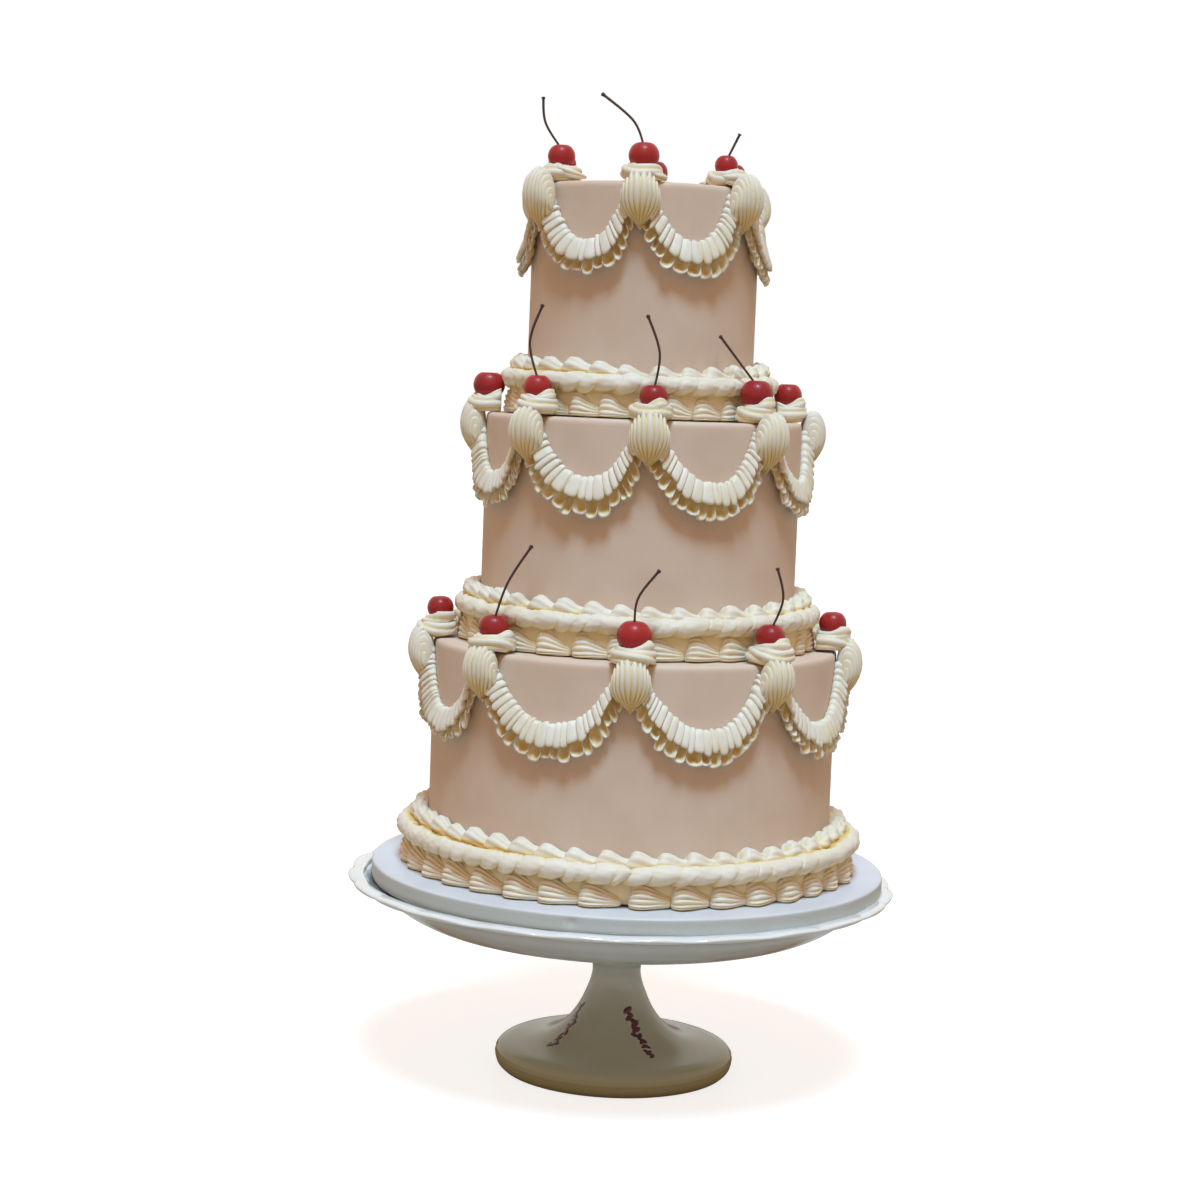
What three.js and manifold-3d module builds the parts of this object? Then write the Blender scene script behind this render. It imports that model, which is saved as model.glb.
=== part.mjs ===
// A three-tier wedding cake piped with buttercream, on a porcelain pedestal stand.
// Millimetres, +Z up, the front faces -Y. The origin is the centre of the foot's base.
// An azimuth is 0 at the front and grows towards +X.

import * as THREE from 'three'
import { mergeVertices } from 'three/addons/utils/BufferGeometryUtils.js'
import Module from 'manifold-3d'

// ---- driving dimensions ----

// Pieces that touch keep this gap between their solids.
const GAP = 0.3

// The pedestal stand, one piece of porcelain.
const STAND_HEIGHT = 113.2
const FOOT_RADIUS = 68
const FOOT_BULGE_RADIUS = 71.5
const NECK_RADIUS = 14.5
const RIM_RADIUS = 162
const RIM_RISE = 3
const RIM_INNER_RADIUS = 157
const RIM_SCALLOP = 1.4
const RIM_SCALLOPS = 24

// The board that the cake stands on.
const DRUM_RADIUS = 152.5
const DRUM_THICKNESS = 12
const DRUM_EDGE = 3

// Each tier of cake, with its smooth icing.
const TIER_HEIGHT = 132.9
const TIER_EDGE = 2.5
const LOWER_AXIS_X = 3.5
const UPPER_AXIS_X = 0

// The border piped round the foot of each tier, in three rows.
const SHELL_ROW_TOP = 14.5
const BEAD_ROW_MIDDLE = 21
const BEAD_ROW_TOP = 27
const LEAF_ROW_TOP = 33
const SHELL_ROW_BEHIND_BEADS = 3.2
const LEAF_ROW_PROUD = 8.5

// The garland: swags of pleated ribbon over a ruffle, with a scallop shell where two meet.
const SHELL_HALF_WIDTH = 11
const SHELL_PROUD = 15.5
const SHELL_LENGTH = 29
const RIBBON_WIDTH = 12
const RUFFLE_SHOWS = 9
const RIBBON_PROUD = 9.5
const RUFFLE_PROUD = 7.5

// The rosettes and the cherries that sit in them.
const ROSETTE_HEIGHT = 10
const ROSETTE_BOWL = 4.3
const ROSETTE_CREST = 0.66
const STEM_RADIUS = 0.9

// The three tiers. joints are the azimuths in degrees where two swags meet, and toppings are
// those of the rosettes and cherries, which sit above the joints or a little beside them. lifts
// are how much taller than usual each of these rosettes is. A stem is [lean along X, rise above
// the cherry's centre, bow], and null where the cherry lost it.
const TIERS = [
  {
    name: 'bottom',
    radius: 119.7,
    axisX: LOWER_AXIS_X,
    beadProud: 18,
    borderColumns: 108,
    columnsPerShell: 3,
    swagDrop: 35,
    pleats: 8,
    rosetteRadius: 14,
    rosetteRing: 116.5,
    rosetteAxisX: LOWER_AXIS_X,
    pressedAt: 9.1,
    joints: [-160, -121, -80.5, -42.5, -0.6, 38.7, 82, 119, 159.5],
    toppings: [-160, -121, -83, -43, -0.4, 40.3, 84, 119, 159.5],
    lifts: [0, 0, 2.6, -0.4, -0.4, 0.5, 1.8, 0, 0],
    cherries: [16.2, 15.8, 15.5, 16.2, 18.8, 16.2, 16, 16.4, 17],
    stems: [
      [-12, 36, 3], null, null, [20, 47, -3], [12.9, 37, -5], [2, 39.2, 5],
      null, null, [10, 38, -4],
    ],
  },
  {
    name: 'middle',
    radius: 93,
    axisX: LOWER_AXIS_X,
    beadProud: 15,
    borderColumns: 72,
    columnsPerShell: 2,
    swagDrop: 33.5,
    pleats: 7,
    rosetteRadius: 12.5,
    rosetteRing: 88.5,
    rosetteAxisX: UPPER_AXIS_X,
    pressedAt: 7.3,
    joints: [-175, -131, -85, -41, 2, 46, 95, 140],
    toppings: [-175, -131, -85, -40, 5.4, 49, 95, 140],
    lifts: [0, 0, 0, 1.2, -1.4, 0, 0.8, 0],
    cherries: [16.5, 16, 17.7, 15.8, 15.4, 18.5, 16.5, 17],
    stems: [
      [8, 35, -3], null, null, [1.4, 46.8, -6], [-5.2, 45.4, 5], [-22.5, 32.5, 0], null,
      [6, 38, 3],
    ],
  },
  {
    name: 'top',
    radius: 66.5,
    axisX: UPPER_AXIS_X,
    beadProud: 15,
    borderColumns: 60,
    columnsPerShell: 2,
    swagDrop: 33,
    pleats: 6,
    rosetteRadius: 12.5,
    rosetteRing: 58,
    rosetteAxisX: UPPER_AXIS_X,
    pressedAt: Infinity,
    joints: [-118, -56, -2.5, 50, 118, 176],
    toppings: [-118, -58.5, -2.2, 50.5, 118, 176],
    lifts: [0, 0.5, -1, -0.8, 0, 0],
    cherries: [16, 15.3, 17.3, 13.1, 13, 16],
    stems: [null, [-11.8, 33.5, -4], [-25.3, 33.8, 6], [7, 18.4, 0], null, null],
  },
]

// Facets round the turned pieces.
const TIER_COLUMNS = 36
const ROSETTE_COLUMNS = 10
const CHERRY_COLUMNS = 8
const STEM_SIDES = 4
const STEM_STEPS = 3

// ---- materials ----

const surface = (color, roughness) => new THREE.MeshStandardMaterial({ color, roughness })
const PORCELAIN = surface(0xd5dae2, 0.2)
const BOARD = surface(0xdfe2ec, 0.5)
const ICING = surface(0xdcc0aa, 0.6)
const BUTTERCREAM = surface(0xf3ead0, 0.5)
const CHERRY = surface(0xa3262c, 0.25)

// ---- shapes ----

const wasm = await Module()
wasm.setup()

const radians = THREE.MathUtils.degToRad
const lerp = THREE.MathUtils.lerp

// Merges shared vertices and drops the triangles that close to nothing at the axis.
function weld(geometry) {
  geometry.deleteAttribute('normal')
  geometry.deleteAttribute('uv')
  const merged = mergeVertices(geometry)
  const corners = merged.index.array
  const kept = []
  for (let first = 0; first < corners.length; first += 3) {
    const [a, b, c] = corners.slice(first, first + 3)
    if (a !== b && b !== c && c !== a) kept.push(a, b, c)
  }
  merged.setIndex(kept)
  merged.computeVertexNormals()
  return merged
}

// A turned body whose outline changes from one azimuth to the next. section(column) gives
// [radius, z] points, anticlockwise as seen with the axis on the left.
function turned(azimuths, section) {
  const outline = section(0).map(([radius, z]) => new THREE.Vector2(radius, z))
  const geometry = new THREE.LatheGeometry(outline, azimuths.length)
  const position = geometry.getAttribute('position')
  for (let step = 0; step <= azimuths.length; step += 1) {
    const column = step % azimuths.length
    const azimuth = azimuths[column]
    section(column).forEach(([radius, z], row) => {
      const vertex = step * outline.length + row
      position.setXYZ(vertex, radius * Math.sin(azimuth), -radius * Math.cos(azimuth), z)
    })
  }
  return weld(geometry)
}

const evenAzimuths = (count) => Array.from({ length: count }, (_, i) => (i / count) * 2 * Math.PI)

// A sign that alternates from column to column: 1 on a ridge, -1 in a valley.
const ridge = (column) => (column % 2 === 0 ? 1 : -1)

function named(name, geometry, material) {
  const mesh = new THREE.Mesh(geometry, material)
  mesh.name = name
  return mesh
}

function solidOf(geometry) {
  const vertProperties = new Float32Array(geometry.getAttribute('position').array)
  const triVerts = new Uint32Array(geometry.index.array)
  return new wasm.Manifold(new wasm.Mesh({ numProp: 3, vertProperties, triVerts }))
}

function geometryOf(solid) {
  const mesh = solid.getMesh()
  const geometry = new THREE.BufferGeometry()
  geometry.setAttribute('position', new THREE.BufferAttribute(mesh.vertProperties, 3))
  geometry.setIndex(new THREE.BufferAttribute(mesh.triVerts, 1))
  geometry.computeVertexNormals()
  return geometry
}

// ---- the stand and the board ----

// The plate ends in a flange that rises round the board, and the flange's edge is scalloped.
function stand() {
  const plate = STAND_HEIGHT
  const rimTop = plate + RIM_RISE
  const flat = DRUM_RADIUS + 1
  const section = (column) => {
    const scallop = -RIM_SCALLOP * ridge(column)
    return [
      [0, 0],
      [FOOT_RADIUS, 0],
      [FOOT_BULGE_RADIUS, 8],
      [FOOT_BULGE_RADIUS - 5.5, 13.8],
      [46, 17.4],
      [30, 27],
      [20, 41.5],
      [NECK_RADIUS, 60],
      [24, 74],
      [70, 83],
      [117, 91.5],
      [136, 101.5],
      [148, 109.5],
      [RIM_RADIUS - 2.5 + scallop, rimTop - 3.4],
      [RIM_RADIUS + scallop, rimTop - 1],
      [RIM_INNER_RADIUS, rimTop],
      [flat, plate],
      [0, plate],
    ]
  }
  return named('stand', turned(evenAzimuths(2 * RIM_SCALLOPS), section), PORCELAIN)
}

function drum() {
  const section = () => [
    [0, 0],
    [DRUM_RADIUS - DRUM_EDGE, 0],
    [DRUM_RADIUS, DRUM_EDGE],
    [DRUM_RADIUS, DRUM_THICKNESS - DRUM_EDGE],
    [DRUM_RADIUS - DRUM_EDGE, DRUM_THICKNESS],
    [0, DRUM_THICKNESS],
  ]
  const mesh = named('drum', turned(evenAzimuths(TIER_COLUMNS), section), BOARD)
  mesh.position.set(LOWER_AXIS_X, 0, STAND_HEIGHT + GAP)
  return mesh
}

// ---- one tier and what is piped on it ----

function tierCake(tier, height) {
  const section = () => [
    [0, 0],
    [tier.radius, 0],
    [tier.radius, height - TIER_EDGE],
    [tier.radius - TIER_EDGE, height],
    [0, height],
  ]
  return named(`tier_${tier.name}`, turned(evenAzimuths(TIER_COLUMNS), section), ICING)
}

// Row 1 is shells lying sideways, row 2 is a rope of puffs and row 3 is slanted leaves.
function border(tier) {
  const wall = tier.radius + GAP
  const section = (column) => {
    const betweenShells = column % tier.columnsPerShell === tier.columnsPerShell - 1
    const shellRow = wall + tier.beadProud - SHELL_ROW_BEHIND_BEADS
    const shell = shellRow - (betweenShells ? 3.5 : 0)
    const bead = wall + tier.beadProud - 1.3 + 1.3 * ridge(column)
    const leaf = LEAF_ROW_TOP + 1.6 * ridge(column + 1)
    return [
      [wall, 0],
      [shell, 3],
      [shellRow - 3, SHELL_ROW_TOP],
      [bead, BEAD_ROW_MIDDLE],
      [wall + LEAF_ROW_PROUD + 1.5, BEAD_ROW_TOP],
      [wall + LEAF_ROW_PROUD - 1, leaf],
      [wall, leaf - 1],
      [wall, 0],
    ]
  }
  const azimuths = evenAzimuths(tier.borderColumns)
  return named(`border_${tier.name}`, turned(azimuths, section), BUTTERCREAM)
}

// How far below the tier's top edge the swag's edges run, at u = 1 over a joint and 0 halfway.
function swagEdges(tier, u) {
  const tail = SHELL_LENGTH - 2
  return {
    inner: tier.swagDrop * (1 - u ** 2),
    ribbon: lerp(tier.swagDrop + RIBBON_WIDTH, tail, u ** 2.6),
    ruffle: lerp(tier.swagDrop + RIBBON_WIDTH + RUFFLE_SHOWS, SHELL_LENGTH, u ** 4),
  }
}

// One column of the ribbon and its ruffle.
function swagSection(tier, u, fold) {
  const wall = tier.radius + GAP
  const edge = swagEdges(tier, u)
  return [
    [wall, -edge.ruffle + 5],
    [wall + RUFFLE_PROUD, -edge.ruffle - 1.4 * fold],
    [wall + RIBBON_PROUD + 1.2 * fold, -edge.ribbon + 2],
    [wall + RIBBON_PROUD - 5.5 + 1.4 * fold, -edge.inner - 1.5],
    [wall, -edge.inner],
    [wall, -edge.ruffle + 5],
  ]
}

// One column of a scallop shell, with the swags' ends under it.
function shellSection(tier, across, u, fold) {
  const wall = tier.radius + GAP
  const edge = swagEdges(tier, u)
  const round = Math.sqrt(1 - (0.8 * across) ** 2)
  const top = 0.6 + 1.6 * (1 - fold) / 2 + 6 * across ** 4
  return [
    [wall, -edge.ruffle + 5],
    [wall + RUFFLE_PROUD - 1, -edge.ruffle],
    [wall + SHELL_PROUD * round + 0.5 * fold, -11 - 2 * across ** 2],
    [wall + (SHELL_PROUD - 6) * round + 0.5 * fold, -top - 0.8],
    [wall, -top],
    [wall, -edge.ruffle + 5],
  ]
}

// The garland runs right round the tier as one body: columns of shell, then of pleats.
function garland(tier) {
  const azimuths = []
  const sections = []
  tier.joints.forEach((joint, index) => {
    const next = tier.joints[(index + 1) % tier.joints.length]
    const start = radians(joint)
    const span = radians(((next - joint) + 360) % 360)
    const halfShell = SHELL_HALF_WIDTH / tier.radius
    const add = (angle, section) => {
      azimuths.push(start + angle)
      sections.push(section)
    }
    const folds = 2 * tier.pleats
    const away = (angle) => Math.abs(1 - (2 * angle) / span)
    for (let step = 0; step < 3; step += 1) {
      const angle = (halfShell * step) / 3
      add(angle, shellSection(tier, step / 3, away(angle), ridge(step)))
    }
    for (let fold = 0; fold <= folds; fold += 1) {
      const angle = lerp(halfShell, span - halfShell, fold / folds)
      add(angle, swagSection(tier, away(angle), -ridge(fold)))
    }
    for (let step = 2; step > 0; step -= 1) {
      const angle = span - (halfShell * step) / 3
      add(angle, shellSection(tier, step / 3, away(angle), ridge(step)))
    }
  })
  const geometry = turned(azimuths, (column) => sections[column])
  return named(`garland_${tier.name}`, geometry, BUTTERCREAM)
}

// A swirl with a bowl in its top. Its inner side is pressed flat by the border behind it.
function rosette(tier, index) {
  const radius = tier.rosetteRadius
  const lift = tier.lifts[index]
  const section = (column) => [
    [0, 0],
    [radius * 0.9, 0],
    [radius * (1 - 0.05 * (1 - ridge(column))), 4],
    [radius * ROSETTE_CREST, ROSETTE_HEIGHT + lift - 0.4 * (1 - ridge(column + 1))],
    [0, ROSETTE_BOWL + lift],
  ]
  const geometry = turned(evenAzimuths(ROSETTE_COLUMNS), section)
  const position = geometry.getAttribute('position')
  for (let vertex = 0; vertex < position.count; vertex += 1) {
    position.setY(vertex, Math.min(position.getY(vertex), tier.pressedAt))
  }
  geometry.computeVertexNormals()
  return named(`rosette_${tier.name}_${index + 1}`, geometry, BUTTERCREAM)
}

// The height at which a cherry rests in the rosette's bowl.
function restingHeight(tier, radius) {
  const slope = Math.atan2(ROSETTE_HEIGHT - ROSETTE_BOWL, tier.rosetteRadius * ROSETTE_CREST)
  return ROSETTE_BOWL + (radius + GAP) / Math.cos(slope)
}

// A thin stalk that leaves the dimple and bows on its way to the tip.
function stem(radius, [lean, rise, bow]) {
  const dimple = radius * 0.5
  const path = new THREE.CatmullRomCurve3([
    new THREE.Vector3(0, 0, dimple),
    new THREE.Vector3(lean / 2 + bow, 0, lerp(dimple, rise, 0.5)),
    new THREE.Vector3(lean, 0, rise),
  ])
  const corners = []
  for (let side = 0; side < STEM_SIDES; side += 1) {
    const turn = (side / STEM_SIDES) * 2 * Math.PI
    corners.push(new THREE.Vector2(STEM_RADIUS * Math.cos(turn), STEM_RADIUS * Math.sin(turn)))
  }
  const options = { steps: STEM_STEPS, extrudePath: path, bevelEnabled: false }
  return weld(new THREE.ExtrudeGeometry(new THREE.Shape(corners), options))
}

function cherry(tier, index) {
  const radius = tier.cherries[index] / 2
  const section = () => [
    [0, -0.92 * radius],
    [0.62 * radius, -0.74 * radius],
    [radius, -0.1 * radius],
    [0.78 * radius, 0.62 * radius],
    [0.36 * radius, 0.86 * radius],
    [0, 0.72 * radius],
  ]
  const fruit = turned(evenAzimuths(CHERRY_COLUMNS), section)
  const stalk = tier.stems[index]
  const geometry = stalk ? geometryOf(solidOf(fruit).add(solidOf(stem(radius, stalk)))) : fruit
  return named(`cherry_${tier.name}_${index + 1}`, geometry, CHERRY)
}

// ---- the whole cake ----

const cake = new THREE.Group()
cake.add(stand(), drum())

let level = STAND_HEIGHT + GAP + DRUM_THICKNESS
TIERS.forEach((tier) => {
  const top = level + TIER_HEIGHT
  const base = level + GAP
  const body = tierCake(tier, top - base)
  const foot = border(tier)
  body.position.set(tier.axisX, 0, base)
  foot.position.set(tier.axisX, 0, base)
  const swags = garland(tier)
  swags.position.set(tier.axisX, 0, top)
  cake.add(body, foot, swags)
  tier.toppings.forEach((topping, index) => {
    const azimuth = radians(topping)
    const x = tier.rosetteAxisX + tier.rosetteRing * Math.sin(azimuth)
    const y = -tier.rosetteRing * Math.cos(azimuth)
    const swirl = rosette(tier, index)
    swirl.position.set(x, y, top + GAP)
    swirl.rotation.z = azimuth
    const fruit = cherry(tier, index)
    const height = restingHeight(tier, tier.cherries[index] / 2) + tier.lifts[index]
    fruit.position.set(x, y, top + GAP + height)
    cake.add(swirl, fruit)
  })
  level = top
})

export default cake
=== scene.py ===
import math
import random
from types import SimpleNamespace

import bmesh
import bpy
from mathutils import Matrix, Vector, noise


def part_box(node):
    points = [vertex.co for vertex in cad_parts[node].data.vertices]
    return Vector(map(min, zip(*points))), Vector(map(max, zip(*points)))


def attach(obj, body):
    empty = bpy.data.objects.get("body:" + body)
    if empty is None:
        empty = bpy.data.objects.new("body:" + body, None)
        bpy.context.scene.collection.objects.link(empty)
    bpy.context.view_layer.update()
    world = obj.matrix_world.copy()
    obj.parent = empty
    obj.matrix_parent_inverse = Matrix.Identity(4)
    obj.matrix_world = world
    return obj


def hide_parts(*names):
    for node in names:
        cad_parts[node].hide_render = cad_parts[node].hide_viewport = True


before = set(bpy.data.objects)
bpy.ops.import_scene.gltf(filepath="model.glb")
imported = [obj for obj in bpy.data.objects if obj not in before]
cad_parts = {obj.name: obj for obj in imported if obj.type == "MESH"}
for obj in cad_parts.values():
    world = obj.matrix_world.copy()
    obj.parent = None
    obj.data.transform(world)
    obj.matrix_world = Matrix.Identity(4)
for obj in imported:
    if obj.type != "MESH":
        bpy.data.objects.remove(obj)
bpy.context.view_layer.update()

MM = 0.001
TAU = 2 * math.pi

# ---- driving dimensions, in millimetres and degrees ----

# joints are where two swags meet, with 0 at the front and growing to the right. toppings are
# where the rosettes and the cherries stand, and lifts are how much taller than usual each is.
# A stem is (lean to the right, rise above the cherry's centre, bow); None has lost its stem.
DESIGN = {
    "bottom": dict(
        joints=(-160, -121, -80.5, -42.5, -0.6, 38.7, 82, 119, 159.5),
        toppings=(-160, -121, -83, -43, -0.4, 40.3, 84, 119, 159.5),
        lifts=(0, 0, 2.6, -0.4, -0.4, 0.5, 1.8, 0, 0),
        cherries=(16.2, 15.8, 15.5, 16.2, 18.8, 16.2, 16, 16.4, 17),
        stems=((-12, 36, 3), None, None, (20, 47, -3), (12.9, 37, -5),
               (2, 39.2, 5), None, None, (10, 38, -4)),
        swag_drop=36, pleats=22, rosette=14, ring=116.5, pressed_at=9.1,
        base_shells=36, puffs=74, leaves=47, bead_proud=18.6, seam=-0.8, cup_pitch=5.0),
    "middle": dict(
        joints=(-175, -131, -85, -41, 2, 46, 95, 140),
        toppings=(-175, -131, -85, -40, 5.4, 49, 95, 140),
        lifts=(0, 0, 0, 1.2, -1.4, 0, 0.8, 0),
        cherries=(16.5, 16, 17.7, 15.8, 15.4, 18.5, 16.5, 17),
        stems=((8, 35, -3), None, None, (1.4, 46.8, -6), (-5.2, 45.4, 5),
               (-22.5, 32.5, 0), None, (6, 38, 3)),
        swag_drop=33.5, pleats=22, rosette=12.5, ring=88.5, pressed_at=7.3,
        base_shells=30, puffs=56, leaves=38, bead_proud=15.6, seam=171.0, cup_pitch=4.2),
    "top": dict(
        joints=(-118, -56, -2.5, 50, 118, 176),
        toppings=(-118, -58.5, -2.2, 50.5, 118, 176),
        lifts=(0, 0.5, -1, -0.8, 0, 0),
        cherries=(16, 15.3, 17.3, 13.1, 13, 16),
        stems=(None, (-11.8, 33.5, -4), (-25.3, 33.8, 6), (7, 18.4, 0), None, None),
        swag_drop=33, pleats=22, rosette=12.5, ring=58, pressed_at=None,
        base_shells=26, puffs=40, leaves=27, bead_proud=15.6, seam=176.0, cup_pitch=4.2),
}
GAP = 0.3
SHELL_HALF_WIDTH = 10.4
SHELL_HEAD = 12.3
SHELL_TAIL = 21.5
SHELL_BULGE = 8.4
SHELL_CENTRE = -7.0
SHELL_POLE = -13.0
RIBBON_WIDTH = 12
RIBBON_LIMBS = (9.0, 7.0)
ROSETTE_HEIGHT = 10
ROSETTE_BOWL = 4.3
ROSETTE_CREST = 0.66
FRONT_DIP = 4.5
FRONT_DIP_AT = math.radians(10)
# Up to this height the column and foot take the porcelain's painted shade in full; it fades to the
# glaze's white by the next height.
FOOT_SHADE_TOP = 30
BOWL_WHITE_FROM = 86
PLATE_TOP = 113.2
# The piped rows: how far row 1 and row 2 stand inside the border's reach, the gap in row 1 at
# the seam, and the heights of the middles of rows 2 and 3 with the radius of each rope.
ROW_INSET = 6.2
SEAM_GAP = 5.0
PUFF_HEIGHT = 20.1
LEAF_HEIGHT = 28.2
ROPE_RADIUS = 5.8
LEAF_LOWEST = 20.5
# The shares of a turn that the front of a base shell and the inside of a ruffle take.
SHELL_FRONT = 0.82
CUP_FRONT = 0.58
SWAG_SAMPLES = 160


def tier_facts(name):
    """The size and place of a tier, read from its solid, with what is piped on it."""
    low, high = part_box("tier_" + name)
    return SimpleNamespace(
        name=name, axis=(low[0] + high[0]) / 2 / MM, radius=(high[0] - low[0]) / 2 / MM,
        base=low[2] / MM, top=high[2] / MM, **DESIGN[name])


TIERS = [tier_facts(name) for name in DESIGN]
BOARD_LOW, BOARD_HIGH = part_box("drum")
STAND_LOW, STAND_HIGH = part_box("stand")


# ---- the camera ----

# The lens and place of a short telephoto at the height of the middle tier.
PICTURE_SIZE = 1181
FOCAL_PIXELS = 2407.5
CENTRE_X, CENTRE_Y = 637.2, 592.8
CAMERA_PLACE = (0.0035, -1.4254, 0.4193)
CAMERA_PITCH = 5.30
CAMERA_ROLL = 2.25
SENSOR_WIDTH = 36


def make_camera():
    data = bpy.data.cameras.new("camera")
    data.sensor_width = SENSOR_WIDTH
    data.lens = FOCAL_PIXELS * SENSOR_WIDTH / PICTURE_SIZE
    camera = bpy.data.objects.new("camera", data)
    bpy.context.scene.collection.objects.link(camera)
    # The aim is turned a little instead of shifting the lens.
    yaw = math.atan((CENTRE_X - PICTURE_SIZE / 2) / FOCAL_PIXELS)
    tilt = math.atan((CENTRE_Y - PICTURE_SIZE / 2) / FOCAL_PIXELS)
    level = Matrix.Rotation(math.radians(90 - CAMERA_PITCH), 4, "X")
    roll = Matrix.Rotation(math.radians(CAMERA_ROLL), 4, "Z")
    aim = Matrix.Rotation(yaw, 4, "Y") @ Matrix.Rotation(tilt, 4, "X")
    camera.matrix_world = Matrix.Translation(CAMERA_PLACE) @ level @ roll @ aim
    bpy.context.scene.camera = camera


make_camera()


# ---- materials ----

def linear(red, green, blue):
    """A colour given in 0 to 255 as the shader's linear values."""
    def channel(value):
        value = value / 255
        return value / 12.92 if value <= 0.04045 else ((value + 0.055) / 1.055) ** 2.4
    return (channel(red), channel(green), channel(blue), 1.0)


def new_group(name, inputs, outputs):
    tree = bpy.data.node_groups.new(name, "ShaderNodeTree")
    for label, kind, value in inputs:
        socket = tree.interface.new_socket(label, in_out="INPUT", socket_type=kind)
        socket.default_value = value
    for label, kind in outputs:
        tree.interface.new_socket(label, in_out="OUTPUT", socket_type=kind)
    entry = tree.nodes.new("NodeGroupInput")
    leave = tree.nodes.new("NodeGroupOutput")
    return tree, entry, leave


def mix_colours(tree, factor, first, second):
    """From first to second as the factor grows; each is a socket or a fixed colour."""
    mix = tree.nodes.new("ShaderNodeMix")
    mix.data_type = "RGBA"
    tree.links.new(factor, mix.inputs["Factor"])
    for label, colour in (("A", first), ("B", second)):
        if isinstance(colour, tuple):
            mix.inputs[label].default_value = colour
        else:
            tree.links.new(colour, mix.inputs[label])
    return mix.outputs["Result"]


def noise_node(tree, vector, scale, detail, roughness=0.5):
    node = tree.nodes.new("ShaderNodeTexNoise")
    node.inputs["Scale"].default_value = scale
    node.inputs["Detail"].default_value = detail
    node.inputs["Roughness"].default_value = roughness
    tree.links.new(vector, node.inputs["Vector"])
    return node.outputs["Fac"]


def ramp_value(tree, value, low, high, bottom=0.0, top=1.0):
    node = tree.nodes.new("ShaderNodeMapRange")
    node.interpolation_type = "SMOOTHSTEP"
    node.inputs["From Min"].default_value = low
    node.inputs["From Max"].default_value = high
    node.inputs["To Min"].default_value = bottom
    node.inputs["To Max"].default_value = top
    tree.links.new(value, node.inputs["Value"])
    return node.outputs["Result"]


def mottled_group():
    """Two tones in soft patches, and the height of a fine grain."""
    tree, entry, leave = new_group(
        "mottled",
        [("Vector", "NodeSocketVector", (0, 0, 0)), ("Tone", "NodeSocketColor", (1, 1, 1, 1)),
         ("Patch", "NodeSocketColor", (1, 1, 1, 1))],
        [("Color", "NodeSocketColor"), ("Grain", "NodeSocketFloat")])
    patches = noise_node(tree, entry.outputs["Vector"], 34, 3)
    amount = ramp_value(tree, patches, 0.35, 0.7)
    tone = mix_colours(tree, amount, entry.outputs["Tone"], entry.outputs["Patch"])
    tree.links.new(tone, leave.inputs["Color"])
    tree.links.new(noise_node(tree, entry.outputs["Vector"], 900, 4, 0.6), leave.inputs["Grain"])
    return tree


MOTTLED = mottled_group()


def new_material(name, tone, patch, roughness, grain_height):
    """A material of two tones with grain, and the nodes that later parts build on."""
    material = bpy.data.materials.new(name)
    material.use_nodes = True
    tree = material.node_tree
    shader = tree.nodes["Principled BSDF"]
    shader.inputs["Roughness"].default_value = roughness
    place = tree.nodes.new("ShaderNodeTexCoord")
    mottled = tree.nodes.new("ShaderNodeGroup")
    mottled.node_tree = MOTTLED
    mottled.inputs["Tone"].default_value = tone
    mottled.inputs["Patch"].default_value = patch
    tree.links.new(place.outputs["Object"], mottled.inputs["Vector"])
    tree.links.new(mottled.outputs["Color"], shader.inputs["Base Color"])
    bump = tree.nodes.new("ShaderNodeBump")
    bump.inputs["Strength"].default_value = 1.0
    bump.inputs["Distance"].default_value = grain_height
    tree.links.new(mottled.outputs["Grain"], bump.inputs["Height"])
    tree.links.new(bump.outputs["Normal"], shader.inputs["Normal"])
    return SimpleNamespace(
        material=material, tree=tree, shader=shader, place=place, mottled=mottled, bump=bump)


def groove_value(tree):
    """How much painted shade a point takes, read from the mesh."""
    node = tree.nodes.new("ShaderNodeAttribute")
    node.attribute_name = "groove"
    return node.outputs["Fac"]


def soften(shader, weight, radius, scale):
    """Light that soaks in and comes out a little further on."""
    shader.inputs["Subsurface Weight"].default_value = weight
    shader.inputs["Subsurface Radius"].default_value = radius
    shader.inputs["Subsurface Scale"].default_value = scale


def cream_material():
    """Piped cream, ivory on its ridges, with painted shade going through straw to ochre in
    grooves, undersides and hollows.
    """
    made = new_material(
        "buttercream", linear(234, 229, 220), linear(230, 222, 206), 0.5, 0.0001)
    tree = made.tree
    groove = groove_value(tree)
    shallow = ramp_value(tree, groove, 0.12, 0.6)
    deep = ramp_value(tree, groove, 0.5, 1.0)
    straw = mix_colours(tree, shallow, made.mottled.outputs["Color"], linear(236, 222, 180))
    ochre = mix_colours(tree, deep, straw, linear(224, 194, 132))
    tree.links.new(ochre, made.shader.inputs["Base Color"])
    soften(made.shader, 0.2, (1.0, 0.75, 0.4), 0.0015)
    made.shader.inputs["Specular IOR Level"].default_value = 0.35
    return made.material


def icing_material():
    made = new_material("icing", linear(222, 201, 185), linear(218, 195, 178), 0.6, 0.00005)
    soften(made.shader, 0.1, (1.0, 0.6, 0.4), 0.002)
    made.shader.inputs["Specular IOR Level"].default_value = 0.25
    return made.material


def board_material():
    """Pale board paper, painted darker as shade round its side and in its dent."""
    made = new_material("board", linear(216, 218, 226), linear(210, 212, 221), 0.45, 0.00003)
    side = groove_value(made.tree)
    grey = mix_colours(made.tree, side, made.mottled.outputs["Color"], linear(192, 197, 195))
    made.tree.links.new(grey, made.shader.inputs["Base Color"])
    return made.material


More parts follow.
